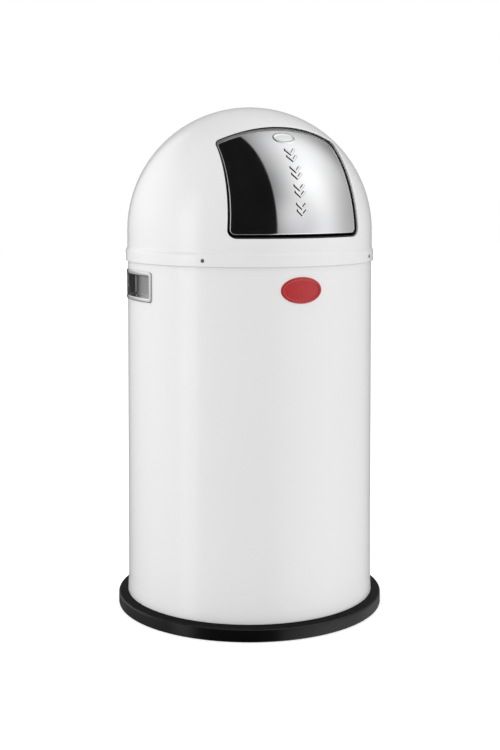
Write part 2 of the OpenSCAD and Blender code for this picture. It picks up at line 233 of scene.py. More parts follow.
def chrome():
    m = Mat("chrome_cast", Base_Color=(0.78, 0.785, 0.795, 1), Metallic=1.0)
    n = m.noise(26.0, 3.0, 0.55)
    col = m.ramp(n, [(0.3, (0.74, 0.745, 0.755)), (0.7, (0.82, 0.823, 0.83))])
    # the pocket's floor is satin, rougher than the polished frame (real finish), and its colour is darkened by depth as
    # painted shade in the recess
    x, y, z = m.xyz()
    r = m.math("SQRT", m.math("ADD", m.math("MULTIPLY", x, x), m.math("MULTIPLY", y, y)))
    pocket_satin_and_shade = m.span(r, 1.0, 0.0, 0.1738, 0.1745)
    m.set(Base_Color=m.mix(pocket_satin_and_shade, col, (0.40, 0.40, 0.405)), Roughness=m.math("ADD", m.span(m.noise(60.0, 4.0, 0.6), 0.07, 0.12), m.math("MULTIPLY", pocket_satin_and_shade, 0.26)),
          Normal=m.bump(m.noise(85.0, 3.0, 0.5), 0.08, 0.0001))
    return m.mat


def red():
    m = Mat("red_enamel", Base_Color=(0.46, 0.008, 0.012, 1), IOR=1.5, Coat_Weight=0.35, Coat_Roughness=0.06)
    n = m.noise(70.0, 4.0, 0.6)
    col = m.ramp(n, [(0.3, (0.40, 0.007, 0.010)), (0.7, (0.45, 0.009, 0.013))])
    m.set(Base_Color=col, Roughness=m.span(m.noise(220.0, 3.0, 0.6), 0.22, 0.30),
          Normal=m.bump(m.noise(400.0, 2.0, 0.5), 0.06, 0.00003))
    return m.mat


def metal(name, dark, light, r0, r1, scale=30.0, tint=(1.0, 1.0, 1.0), brush=0.0):
    m = Mat(name, Base_Color=(dark, dark, dark, 1), Metallic=1.0)
    n = m.noise(scale, 5.0, 0.62, distort=0.3)
    col = m.ramp(n, [(0.28, tuple(dark * t for t in tint)), (0.72, tuple(light * t for t in tint))])
    spots = m.noise(scale * 9, 3.0, 0.6)
    col = m.mix(m.span(spots, 0.0, 0.35, 0.60, 0.78), col, tuple(dark * 0.7 * t for t in tint))
    normal = m.bump(m.noise(scale * 12, 3.0, 0.6), 0.15, 0.00005)
    if brush:
        normal = m.bump(m.noise(1.0, 3.0, 0.6, vec=m.mapped((brush, brush, 1400.0))), 0.10, 0.00004, normal)
    m.set(Base_Color=col, Roughness=m.span(m.noise(scale * 3, 4.0, 0.6), r0, r1), Normal=normal)
    return m.mat


def galvanised():
    m = Mat("galvanised_sheet", Base_Color=(0.52, 0.53, 0.54, 1), Metallic=1.0)
    warp = m.add("ShaderNodeVectorMath")
    warp.operation = "ADD"
    n = m.add("ShaderNodeTexNoise")
    n.inputs["Scale"].default_value = 45.0
    m.link(m.co, n.inputs["Vector"])
    sc = m.add("ShaderNodeVectorMath")
    sc.operation = "SCALE"
    sc.inputs["Scale"].default_value = 0.010
    m.link(n.outputs["Color"], sc.inputs[0])
    m.link(m.co, warp.inputs[0])
    m.link(sc.outputs[0], warp.inputs[1])
    cell = m.add("ShaderNodeTexVoronoi")
    cell.inputs["Scale"].default_value = 95.0
    m.link(warp.outputs[0], cell.inputs["Vector"])
    sep = m.add("ShaderNodeSeparateColor")
    m.link(cell.outputs["Color"], sep.inputs[0])
    col = m.ramp(sep.outputs[0], [(0.0, (0.42, 0.43, 0.445)), (1.0, (0.62, 0.63, 0.64))])
    col = m.mix(m.span(m.noise(9.0, 4.0, 0.6), 0.0, 0.25), col, (0.44, 0.45, 0.46))
    streak = m.noise(1.0, 4.0, 0.6, vec=m.mapped((55.0, 55.0, 1.6)))
    m.set(Base_Color=col, Roughness=m.math("ADD", m.span(sep.outputs[1], 0.24, 0.42, 0.0, 1.0), m.span(streak, 0.0, 0.06)),
          Normal=m.bump(m.noise(240.0, 3.0, 0.6), 0.10, 0.00005))
    return m.mat


M = {
    "white_enamel": enamel(),
    "black_plastic": plastic(),
    "black_rubber": rubber(),
    "polished_steel": polished(),
    "chrome_cast": chrome(),
    "red_enamel": red(),
    "zinc_plate": metal("zinc_plate", 0.50, 0.66, 0.24, 0.38, 34.0, (1.0, 1.0, 1.03), 40.0),
    "spring_steel": metal("spring_steel", 0.24, 0.36, 0.26, 0.40, 60.0, (1.0, 0.99, 0.97)),
    "dark_steel": metal("dark_steel", 0.22, 0.34, 0.35, 0.50, 90.0, (1.0, 1.0, 1.04)),
    "galvanised_sheet": galvanised(),
}


# ---------------------------------------------------------------- mesh tools
def grid_faces(n, m, wrap_n=True, wrap_m=True, offset=0):
    """Quads of an n by m grid of vertices, row-major."""
    i = np.arange(n if wrap_n else n - 1)
    j = np.arange(m if wrap_m else m - 1)
    I, J = np.meshgrid(i, j, indexing="ij")
    I2, J2 = (I + 1) % n, (J + 1) % m
    q = np.stack([I * m + J, I2 * m + J, I2 * m + J2, I * m + J2], -1).reshape(-1, 4)
    return q + offset


def make(name, verts, faces, slot, body, nodes=(), sharp=38.0, keep_normals=False):
    """A mesh piece from vertices in mm; it rides on a body and stands for CAD nodes."""
    me = bpy.data.meshes.new(name)
    me.from_pydata((np.asarray(verts, float) * 0.001).tolist(), [], [list(map(int, f)) for f in faces])
    me.validate()
    bm = bmesh.new()
    bm.from_mesh(me)
    bmesh.ops.remove_doubles(bm, verts=bm.verts, dist=2e-7)
    bmesh.ops.dissolve_degenerate(bm, dist=1e-8, edges=bm.edges)
    if not keep_normals:
        bmesh.ops.recalc_face_normals(bm, faces=bm.faces)
    bm.to_mesh(me)
    bm.free()
    me.shade_smooth()
    me.set_sharp_from_angle(angle=math.radians(sharp))
    me.materials.append(M[slot])
    o = bpy.data.objects.new(name, me)
    bpy.context.scene.collection.objects.link(o)
    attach(o, body)
    if nodes:
        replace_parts(o, *nodes)
    return o


def merge(*parts):
    """Several (verts, faces) as one."""
    vs, fs, k = [], [], 0
    for v, f in parts:
        vs.append(np.asarray(v, float))
        fs += [[a + k for a in q] for q in np.asarray(f).tolist()] if isinstance(f, np.ndarray) else [[a + k for a in q] for q in f]
        k += len(v)
    return np.concatenate(vs), fs


def round_poly(pts, r, n=4, closed=True):
    """A polygon with each corner cut to an arc-like curve of reach r."""
    pts = np.asarray(pts, float)
    rs = np.full(len(pts), float(r)) if np.isscalar(r) else np.asarray(r, float)
    out = []
    for i, p in enumerate(pts):
        a, b = pts[i - 1], pts[(i + 1) % len(pts)]
        if (not closed and i in (0, len(pts) - 1)) or rs[i] <= 0:
            out.append(p)
            continue
        la, lb = np.linalg.norm(a - p), np.linalg.norm(b - p)
        d = min(rs[i], la * 0.45, lb * 0.45)
        p0, p1 = p + (a - p) / la * d, p + (b - p) / lb * d
        for t in np.linspace(0, 1, n + 1):
            out.append((1 - t) ** 2 * p0 + 2 * t * (1 - t) * p + t * t * p1)
    return np.array(out)


def revolve(profile, n=256, z_axis=True):
    """A closed (r, z) loop turned about Z."""
    a = np.linspace(0, 2 * math.pi, n, endpoint=False)
    p = np.asarray(profile, float)
    v = np.stack([np.outer(np.cos(a), p[:, 0]), np.outer(np.sin(a), p[:, 0]), np.outer(np.ones(n), p[:, 1])], -1)
    return v.reshape(-1, 3), grid_faces(n, len(p))


def arc(cx, cy, r, a0, a1, n):
    a = np.radians(np.linspace(a0, a1, n + 1))
    return np.stack([cx + r * np.cos(a), cy + r * np.sin(a)], -1)


def bezier(p0, p1, p2, p3, n):
    """n + 1 points of a cubic, for arrays of control points; result (n + 1, ..., 3)."""
    t = np.linspace(0, 1, n + 1).reshape(-1, *([1] * p0.ndim))
    return (1 - t) ** 3 * p0 + 3 * t * (1 - t) ** 2 * p1 + 3 * t * t * (1 - t) * p2 + t ** 3 * p3


def fill_loop(loop, steps=10, lift=None):
    """Concentric loops that close a ring of points (n, 3) onto its middle; returns verts, faces with the ring first."""
    n = len(loop)
    c = loop.mean(0)
    vs = [loop]
    for k in range(1, steps):
        f = 1 - k / steps
        vs.append(c + (loop - c) * f)
    vs = np.concatenate(vs + [c[None]])
    if lift is not None:
        vs[n:] = lift(vs[n:])
    faces = grid_faces(steps, n, wrap_n=False).tolist()
    last = (steps - 1) * n
    faces += [[last + i, last + (i + 1) % n, steps * n] for i in range(n)]
    return vs, faces


def sweep(path, radius, sides=16, closed=False, caps=True):
    """A round wire along a smooth path (n, 3) in mm, with rounded ends."""
    p = np.asarray(path, float)
    n = len(p)
    rad = np.full(n, float(radius)) if np.isscalar(radius) else np.asarray(radius, float)
    t = np.gradient(p, axis=0) if not closed else (np.roll(p, -1, 0) - np.roll(p, 1, 0))
    t /= np.linalg.norm(t, axis=1)[:, None]
    u = np.zeros_like(p)
    ref = np.array([1.0, 0, 0]) if abs(t[0, 0]) < 0.9 else np.array([0, 1.0, 0])
    u[0] = ref - t[0] * (ref @ t[0])
    u[0] /= np.linalg.norm(u[0])
    for i in range(1, n):
        w = u[i - 1] - t[i] * (u[i - 1] @ t[i])
        u[i] = w / np.linalg.norm(w)
    v = np.cross(t, u)
    rings, centres = [], []
    if caps and not closed:
        for k in (0.05, 0.45, 0.8):
            rings.append((p[0] - t[0] * rad[0] * (1 - k) * 0.6, u[0], v[0], rad[0] * math.sqrt(max(0.02, 1 - (1 - k) ** 2))))
    for i in range(n):
        rings.append((p[i], u[i], v[i], rad[i]))
    if caps and not closed:
        for k in (0.8, 0.45, 0.05):
            rings.append((p[-1] + t[-1] * rad[-1] * (1 - k) * 0.6, u[-1], v[-1], rad[-1] * math.sqrt(max(0.02, 1 - (1 - k) ** 2))))
    a = np.linspace(0, 2 * math.pi, sides, endpoint=False)
    V = np.concatenate([c + r * (np.cos(a)[:, None] * uu + np.sin(a)[:, None] * vv) for c, uu, vv, r in rings])
    m = len(rings)
    F = grid_faces(m, sides, wrap_n=closed).tolist()
    if not closed:
        V = np.concatenate([V, rings[0][0][None], rings[-1][0][None]])
        F += [[i, (i + 1) % sides, m * sides] for i in range(sides)]
        F += [[(m - 1) * sides + i, (m - 1) * sides + (i + 1) % sides, m * sides + 1] for i in range(sides)]
    return V, F


def rot_z(v, deg):
    a = math.radians(deg)
    c, s = math.cos(a), math.sin(a)
    v = np.asarray(v, float)
    return np.stack([v[..., 0] * c - v[..., 1] * s, v[..., 0] * s + v[..., 1] * c, v[..., 2]], -1)


def rot_x(v, deg, at=(0, 0, 0)):
    a = math.radians(deg)
    c, s = math.cos(a), math.sin(a)
    v = np.asarray(v, float) - at
    return np.stack([v[..., 0], v[..., 1] * c - v[..., 2] * s, v[..., 1] * s + v[..., 2] * c], -1) + at


# ---------------------------------------------------------------- the flap opening's outline, seen from the front
def outline(ds, db, dt, nc=24, ns=60, na=110, nb=90):
    """Counter-clockwise (x, z) loop from the right bottom corner; the same counts at every inset."""
    rb, rt, ra = max(3, 12 - (ds + db) / 2), max(3, 10 - (ds + dt) / 2), ARCH_R - dt
    sl = (OPEN_WB - OPEN_WT) / (ARCH_ZC - OPEN_ZB)
    zb, xt = OPEN_ZB + db + rb, OPEN_WT - ds - rt
    xb = OPEN_WB - ds - sl * (db + rb) - rb
    zt = ARCH_Z + math.sqrt((ra - rt) ** 2 - xt ** 2)
    phi = math.degrees(math.atan2(zt - ARCH_Z, xt))
    pieces = [arc(xb, zb, rb, -90, 0, nc)]
    p, q = np.array([xb + rb, zb]), np.array([xt + rt, zt])
    pieces.append(p + (q - p) * np.linspace(0, 1, ns + 1)[:, None])
    pieces.append(arc(xt, zt, rt, 0, phi, nc))
    pieces.append(arc(0, ARCH_Z, ra, phi, 180 - phi, na))
    pieces.append(arc(-xt, zt, rt, 180 - phi, 180, nc))
    pieces.append(np.array([-1, 1]) * (q + (p - q) * np.linspace(0, 1, ns + 1)[:, None]))
    pieces.append(arc(-xb, zb, rb, 180, 270, nc))
    x = np.linspace(-xb, xb, nb + 1)
    pieces.append(np.stack([x, np.full_like(x, zb - rb)], -1))
    return np.concatenate([k[:-1] for k in pieces])


def front_y(xz, R):
    """y of a shell of radius R (sphere above the dome's centre, tube below) at front-view points."""
    h = np.maximum(xz[..., 1] - DOME_Z, 0)
    return -np.sqrt(np.maximum(R * R - xz[..., 0] ** 2 - h ** 2, 0))


def front(xz, R):
    return np.stack([xz[..., 0], front_y(xz, R), xz[..., 1]], -1)


# ---------------------------------------------------------------- dome
S_EQ = DOME_R * math.pi / 2
S_END = S_EQ + DOME_Z - 546.5


def to_disc(xz):
    p = front(xz, DOME_R)
    h = xz[..., 1] - DOME_Z
    s = np.where(h >= 0, DOME_R * np.arccos(np.clip(h / DOME_R, -1, 1)), S_EQ - h)
    az = np.arctan2(p[..., 0], -p[..., 1])
    return np.stack([s * np.sin(az), -s * np.cos(az)], -1)


def from_disc(d, R):
    s = np.hypot(d[..., 0], d[..., 1])
    az = np.arctan2(d[..., 0], -d[..., 1])
    th = np.minimum(s, S_EQ) / DOME_R
    r = R * np.sin(th)
    z = np.where(s <= S_EQ, DOME_Z + R * np.cos(th), DOME_Z - (s - S_EQ))
    return np.stack([r * np.sin(az), -r * np.cos(az), z], -1)


def rays(start, n, power):
    """Points from start (k, 2) out to the collar circle, along rays from a point inside the opening."""
    o = np.array([0.0, -205.0])
    d = start - o
    d /= np.linalg.norm(d, axis=1)[:, None]
    b = (d * o).sum(1)
    t = -b + np.sqrt(b * b - (o @ o - S_END ** 2))
    end = o + d * t[:, None]
    f = (np.linspace(0, 1, n + 1) ** power)[:, None, None]
    return start + (end - start) * f, np.arctan2(end[:, 0], -end[:, 1])


def dome():
    fil, lip_t = 3.0, 0.8
    base = outline(0, 0, 0)
    edge = front(base, DOME_R)
    out_f = outline(-fil, -fil, -fil)
    disc0 = to_disc(out_f)
    pts, az = rays(disc0, 84, 1.45)
    outer = from_disc(pts, DOME_R)                       # (85, N, 3)
    # rolled edge, from the lip to the outer skin
    back = np.array([0, 1.0, 0])
    p0 = edge + back * fil
    p1 = edge + back * fil * 0.42
    near = from_disc(to_disc(outline(-fil * 0.42, -fil * 0.42, -fil * 0.42)), DOME_R)
    roll = bezier(p0, p1, near, outer[0], 9)[:-1]        # (9, N, 3)
    lip_end = front(base, LIP_I)
    lip_in = np.stack([lip_end + (p0 - lip_end) * t for t in (0.0, 0.07, 0.4, 0.75)])
    # collar bead, the same profile as the CAD's, with eased corners
    prof = round_poly([(DOME_R, 549.0), (DOME_R, 546.3), (186.25, 543.5), (186.8, 541.7), (188.2, 539.9), (BEAD_R, 538.5), (BEAD_R, SKIRT_Z),
                       (186.1, SKIRT_Z), (186.1, SKIRT_Z + SHEET), (BEAD_R - SHEET, SKIRT_Z + SHEET), (BEAD_R - SHEET, 537.9), (187.4, 539.4),
                       (DOME_I + 0.75, 541.3), (DOME_I + 0.25, 543.2), (DOME_I, 546.1), (DOME_I, 549.0)],
                      [0, 1.2, 1.2, 0.7, 0.9, 0.9, 1.5, 0.38, 0.38, 0.5, 0.6, 0.7, 0.7, 0.9, 1.2, 0], 5, False)
    prof = prof[1:-1]
    sub = []
    for a, b in zip(prof[:-1], prof[1:]):
        k = max(1, int(np.linalg.norm(b - a) / 5.0))
        sub += [a + (b - a) * i / k for i in range(k)]
    prof = np.array(sub + [prof[-1]])
    bead = np.stack([np.stack([r * np.sin(az), -r * np.cos(az), np.full_like(az, z)], -1) for r, z in prof])
    # inner skin, coarser
    in_f = outline(-fil - 0.4, -fil - 0.4, -fil - 0.4)
    ipts, _ = rays(to_disc(in_f), 44, 1.3)
    inner = from_disc(ipts, DOME_I)[::-1]
    o1 = outline(-lip_t, -lip_t, -lip_t)
    q0 = front(o1, DOME_I) + back * 1.6
    q1 = front(o1, DOME_I) + back * 0.6
    mid = front(outline(-lip_t - 1.0, -lip_t - 1.0, -lip_t - 1.0), DOME_I)
    iroll = bezier(inner[-1], mid, q1, q0, 5)[1:]
    o_end = front(o1, LIP_I)
    lip_out = np.stack([q0 + (o_end - q0) * t for t in (0.5, 0.94, 1.0)])
    outer_cut = outer[:-1]                                # the bead starts where the tube ends
    inner = inner[1:]
    ring = np.concatenate([lip_in, roll, outer_cut, bead, inner, iroll, lip_out])
    V = ring.transpose(1, 0, 2)
    n, m = V.shape[:2]
    return make("dome_skin", V.reshape(-1, 3), grid_faces(n, m), "white_enamel", "dome", ["dome_shell"])


dome()


# ---------------------------------------------------------------- push flap
def coons(loop, nu, nv):
    """Grid (nu + 1, nv + 1, 2) inside a loop whose four sides start at index 0 with nu, nv, nu, nv steps."""
    b = loop[: nu + 1]
    r = loop[nu: nu + nv + 1]
    t = loop[nu + nv: 2 * nu + nv + 1][::-1]
    l = np.concatenate([loop[2 * nu + nv:], loop[:1]])[::-1]
    u = np.linspace(0, 1, nu + 1)[:, None, None]
    v = np.linspace(0, 1, nv + 1)[None, :, None]
    return ((1 - v) * b[:, None] + v * t[:, None] + (1 - u) * l[None] + u * r[None]
            - ((1 - u) * (1 - v) * b[0] + u * (1 - v) * b[-1] + (1 - u) * v * t[0] + u * v * t[-1]))


def seg_dist(p, a, b):
    a, b = np.array(a, float), np.array(b, float)
    t = np.clip(((p - a) @ (b - a)) / ((b - a) @ (b - a)), 0, 1)
    return np.linalg.norm(p - (a + t[..., None] * (b - a)), axis=-1)


def marks(xz):
    """Height of the pressed marks: a column of plain double chevrons under a plain oval."""
    d = np.full(xz.shape[:-1], 99.0)
    for zc in (602.5, 628.5, 654.0, 679.0):
        for dz in (0.8, -8.4):
            for s in (-1, 1):
                d = np.minimum(d, seg_dist(xz, (s * 6.6, zc + dz + 7.2), (0, zc + dz + 0.6)))
    t = np.hypot(xz[..., 0] / 16.0, (xz[..., 1] - 704.2) / 6.4)
    g = np.hypot(xz[..., 0] / 16.0 ** 2, (xz[..., 1] - 704.2) / 6.4 ** 2) + 1e-9
    oval = np.abs(t - 1) * t / g
    h = 1 - np.clip((d - 1.1) / 1.0, 0, 1)
    k = 1 - np.clip((oval - 0.55) / 0.8, 0, 1)
    ease = lambda x: x * x * (3 - 2 * x)
    return np.maximum(ease(h), 0.8 * ease(k)) * 0.9


def flap():
    nc, ns, na = 24, 210, 350
    nu, nv = na + nc, ns + nc
    kw = dict(nc=nc, ns=ns, na=na, nb=na)

    def loop(d):
        o = outline(GAP + d, GAP_B + d, TOP_SEEN + d * 0.3, **kw)
        return np.roll(o, nc // 2 + na, axis=0)          # starts at the middle of the left bottom corner

    def reach(y):
        """Depth of the rolled edge: shallow along the top, full elsewhere."""
        k = np.clip((OPEN_ZT - 8 - loop(0)[:, 1]) / 22.0, 0, 1)
        k = 0.3 + 0.7 * k * k * (3 - 2 * k)
        return np.stack([np.zeros(len(k)), y * k, np.zeros(len(k))], -1)

    fil = 2.3
    face = coons(loop(fil), nu, nv)
    outer = front(face, FLAP_R)
    rad = outer - np.array([0, 0, DOME_Z])
    h = marks(face)[..., None]
    outer = outer + rad / np.linalg.norm(rad, axis=-1)[..., None] * h
    back_face = coons(loop(3.0), nu, nv)
    inner = front(back_face, FLAP_R - 1.0)
    rad = inner - np.array([0, 0, DOME_Z])
    inner = inner + rad / np.linalg.norm(rad, axis=-1)[..., None] * marks(back_face)[..., None]
    # the turned-in edge
    l0 = loop(0)
    edge = front(l0, FLAP_R)
    back = np.array([0, 1.0, 0])
    stop = -81.5 - 0.4
    p0 = edge + reach(fil)
    p1 = edge + reach(fil * 0.42)
    near = front(loop(fil * 0.42), FLAP_R)
    first = front(loop(fil), FLAP_R)
    roll = bezier(first, near, p1, p0, 8)[1:]
    end = front(l0, FLAP_R - 4.7)
    end[:, 1] = np.minimum(end[:, 1], stop)
    li = loop(1.0)
    end_i = front(li, FLAP_R - 4.7)
    end_i[:, 1] = np.minimum(end_i[:, 1], stop)
    first_i = front(loop(3.0), FLAP_R - 1.0)
    q0 = front(li, FLAP_R - 1.0) + back * 1.3
    q0[:, 1] = np.minimum(q0[:, 1], end_i[:, 1] - 0.4)
    q1 = front(li, FLAP_R - 1.0) + back * 0.4
    mid = front(loop(1.8), FLAP_R - 1.0)
    iroll = bezier(q0, q1, mid, first_i, 5)
    hem = [end + (p0 - end) * t for t in (0.6, 0.08)] + [end * 0.85 + end_i * 0.15, end * 0.15 + end_i * 0.85]
    hem[0] = p0 + (end - p0) * 0.5
    hem[1] = p0 + (end - p0) * 0.93
    hem += [end_i + (q0 - end_i) * 0.08]
    rings = np.concatenate([roll, np.stack(hem), iroll[:-1]])
    # vertex blocks: outer grid, rings, inner grid
    A = outer.reshape(-1, 3)
    B = rings.reshape(-1, 3)
    C = inner.reshape(-1, 3)
    fa = grid_faces(nu + 1, nv + 1, False, False)
    fc = grid_faces(nu + 1, nv + 1, False, False, len(A) + len(B))[:, ::-1]
    idx = np.arange((nu + 1) * (nv + 1)).reshape(nu + 1, nv + 1)
    per = np.concatenate([idx[:-1, 0], idx[-1, :-1], idx[1:, -1][::-1], idx[0, 1:][::-1]])
    n = len(per)
    k, m = len(A), len(rings)
    fb = grid_faces(m, n, False, True, k).tolist()
    j2 = (np.arange(n) + 1) % n
    f0 = np.stack([per, per[j2], k + j2, k + np.arange(n)], -1).tolist()
    last = k + (m - 1) * n
    cper = per + k + len(B)
    f1 = np.stack([last + np.arange(n), last + j2, cper[j2], cper], -1).tolist()
    return make("flap_skin", np.concatenate([A, B, C]), fa.tolist() + fc.tolist() + fb + f0 + f1, "polished_steel", "flap", ["flap_panel"], sharp=50)


flap()


# ---------------------------------------------------------------- body tube, with the two grip cut-outs
def body():
    hy, z0, z1 = 47.7, GRIP_Z - 17.7, GRIP_Z + 17.7
    a = math.degrees(math.asin(hy / BODY_R))
    az = np.radians(np.concatenate([np.linspace(-a, a, 30, endpoint=False), np.linspace(a, 180 - a, 150, endpoint=False),
                                    np.linspace(180 - a, 180 + a, 30, endpoint=False), np.linspace(180 + a, 360 - a, 150, endpoint=False)]))
    hole = np.zeros(len(az), bool)
    hole[:30] = True
    hole[180:210] = True
    rc = RIM_Z - 3
    zs = [60, 100, 150, 200, 250, 300, 350, 400, 440, z0, z1, 520]
    flare = round_poly([(FOOT_R, 5), (FOOT_R, 21), (BODY_R + 0.6, 31), (BODY_R, 43), (BODY_R, 50)], [0, 6, 6, 6, 0], 5, False)[:-1]
    out = [tuple(p) for p in flare] + [(BODY_R, z) for z in zs]
    k_out = len(flare) + zs.index(z0)
    rim = arc(BODY_R - 3, rc, 3, 0, 240, 20).tolist() + arc(BODY_R - 3, rc, 3 - SHEET, 240, 0, 20).tolist()
    inn = [(BODY_R - SHEET, z) for z in zs[::-1]] + [(r - SHEET, z) for r, z in flare[::-1]]
    k_in = len(out) + len(rim) + zs[::-1].index(z1)
    prof = np.array(out + rim + inn)
    n, m = len(az), len(prof)
    V = np.stack([np.outer(np.cos(az), prof[:, 0]), np.outer(np.sin(az), prof[:, 0]), np.outer(np.ones(n), prof[:, 1])], -1).reshape(-1, 3)
    F = []
    for f, (i, j) in zip(grid_faces(n, m).tolist(), ((i, j) for i in range(n) for j in range(m))):
        if hole[i] and j in (k_out, k_in):
            continue
        F.append(f)
    vid = lambda i, j: (i % n) * m + j
    for i in np.nonzero(hole)[0]:
        F.append([vid(i, k_out), vid(i + 1, k_out), vid(i + 1, k_in + 1), vid(i, k_in + 1)])
        F.append([vid(i, k_out + 1), vid(i + 1, k_out + 1), vid(i + 1, k_in), vid(i, k_in)])
    for i in (0, 30, 180, 210):
        F.append([vid(i, k_out), vid(i, k_out + 1), vid(i, k_in), vid(i, k_in + 1)])
    return make("body_tube", V, F, "white_enamel", "bin_body", ["body_shell"])


body()

ring_prof = round_poly([(170, 0), (BASE_R - 1.4, 0), (BASE_R - 0.4, 0.5), (BASE_R, 1.5), (BASE_R, BASE_H - 1.6), (BASE_R - 0.5, BASE_H - 0.5),
                        (BASE_R - 1.7, BASE_H), (FOOT_R + 5, 19.6), (FOOT_R + 2.2, 20.9), (FOOT_R + 0.9, 21), (FOOT_R + 0.05, 20.2),
                        (FOOT_R + 0.05, 4.9), (170, 4.9)], [0.8, 0.9, 0.9, 1.2, 1.2, 0.6, 1.4, 3.0, 1.4, 0.6, 0.6, 0.8, 0.8], 5)
make("base_ring_skin", *revolve(ring_prof, 288), "black_plastic", "bin_body", ["base_ring"], sharp=60)


# ---------------------------------------------------------------- grips
def rrect(w, h, r, nw=26, nh=9, nr=8):
    c = [(w / 2 - r, h / 2 - r, 0), (-w / 2 + r, h / 2 - r, 90), (-w / 2 + r, -h / 2 + r, 180), (w / 2 - r, -h / 2 + r, 270)]
    out = []
    for k, (cx, cy, a) in enumerate(c):
        out.append(arc(cx, cy, r, a, a + 90, nr))
        nx = c[(k + 1) % 4]
        p = out[-1][-1]
        q = np.array([nx[0], nx[1]]) + r * np.array([math.cos(math.radians(a + 90)), math.sin(math.radians(a + 90))])
        n = nw if k % 2 == 0 else nh
        out.append(p + (q - p) * (np.arange(1, n) / n)[:, None])
    return np.concatenate(out)


def on_tube(yz, R):
    return np.stack([np.sqrt(R * R - yz[:, 0] ** 2), yz[:, 0], yz[:, 1] + GRIP_Z], -1)


def grip(side):
    steps = [  # width, height, corner, radius
        (94.8, 34.8, 3.2, 185.2), (95.6, 35.6, 3.4, 185.46), (103.4, 43.4, 3.8, 185.46), (104.0, 44.0, 4.0, 185.8), (104.0, 44.0, 4.0, 186.5),
        (103.6, 43.6, 3.9, 186.95), (102.8, 42.8, 3.7, 187.25), (101.6, 41.6, 3.4, 187.38), (99.0, 39.0, 3.0, 187.40), (95.0, 35.0, 2.8, 187.36),
        (93.4, 33.4, 2.7, 187.2), (92.5, 32.5, 2.6, 186.8), (92.0, 32.0, 2.5, 186.2), (91.8, 31.8, 2.5, 183.0), (91.5, 31.5, 2.5, 179.0),
        (91.2, 31.2, 2.5, 175.4), (90.6, 30.6, 2.4, 174.3), (89.4, 29.4, 2.3, 173.65), (87.6, 27.6, 2.2, 173.42)]
    loops = [on_tube(rrect(w, h, r), R) for w, h, r, R in steps]
    n = len(loops[0])
    V = np.concatenate(loops)
    F = grid_faces(len(loops), n, False, True).tolist()

    def on(R):
        def lift(v):
            v = v.copy()
            v[:, 0] = np.sqrt(R * R - v[:, 1] ** 2)
            return v
        return lift
    fv, ff = fill_loop(loops[-1], 9, on(173.4))
    bv_loops = [on_tube(rrect(94.8, 34.8, 3.2), 178.0), on_tube(rrect(94.8, 34.8, 3.2), 173.2), on_tube(rrect(94.2, 34.2, 3.0), 172.4), on_tube(rrect(92.8, 32.8, 2.8), 172.2)]
    bV = np.concatenate([loops[0]] + bv_loops)
    bF = grid_faces(5, n, False, True)[:, ::-1].tolist()
    gv, gf = fill_loop(bv_loops[-1], 9, on(172.2))
    gf = [f[::-1] for f in gf]
    v, f = merge((V, F), (fv, ff), (bV, bF), (gv, gf))
    v = v * np.array([side, 1, 1])
    name = "right" if side > 0 else "left"
    return make(f"grip_{name}_cup", v, f, "chrome_cast", "bin_body", [f"grip_{name}"], sharp=50)


grip(1)
grip(-1)


# ---------------------------------------------------------------- badge
def badge():
    t = np.linspace(0, 2 * math.pi, 120, endpoint=False)
    steps = [(0.25, 185.46), (0.0, 185.6), (0.0, 186.1), (0.2, 186.4), (0.9, 186.78), (1.3, 186.95), (1.8, 187.0), (2.9, 187.0), (3.3, 186.93),
             (3.9, 186.4), (4.2, 186.16), (4.6, 186.1), (5.2, 186.1)]

    def at(d, R, cx=1.0):
        x, z = (BADGE_A - d) * np.cos(t) * cx, (BADGE_B - d) * np.sin(t) * cx
        return np.stack([x, -np.sqrt(R * R - x * x), z + BADGE_Z], -1)
    loops = [at(*s) for s in steps]
    n = len(t)
    V = np.concatenate(loops)
    F = grid_faces(len(loops), n, False, True).tolist()

    def lift(v):
        v = v.copy()
        q = 1 - np.clip(np.hypot(v[:, 0] / (BADGE_A - 5.2), (v[:, 2] - BADGE_Z) / (BADGE_B - 5.2)), 0, 1) ** 2
        R = 186.1 + 0.35 * q
        v[:, 1] = -np.sqrt(R * R - v[:, 0] ** 2)
        return v
    fv, ff = fill_loop(loops[-1], 14, lift)

    def low(v):
        v = v.copy()
        v[:, 1] = -np.sqrt(185.46 ** 2 - v[:, 0] ** 2)
        return v
    gv, gf = fill_loop(loops[0], 6, low)
    studs = []
    for x in (-18.0, 18.0):
        a = np.linspace(0, 2 * math.pi, 24, endpoint=False)
        rings = [np.stack([x + r * np.cos(a), np.full_like(a, y), BADGE_Z + r * np.sin(a)], -1) for r, y in ((1.5, -184.9), (1.5, -179.9), (1.2, -179.5))]
        sv, sf = np.concatenate(rings), grid_faces(3, 24, False, True).tolist()
        sv = np.concatenate([sv, [[x, -184.9, BADGE_Z], [x, -179.5, BADGE_Z]]])
        sf += [[i, (i + 1) % 24, 72] for i in range(24)] + [[48 + i, 48 + (i + 1) % 24, 73] for i in range(24)]
        studs.append((sv, sf))
    v, f = merge((V, F), (fv, ff), (gv, gf), *studs)
    return make("badge_oval", rot_z(v, BADGE_TURN), f, "red_enamel", "bin_body", ["badge_plate"], sharp=60)


badge()


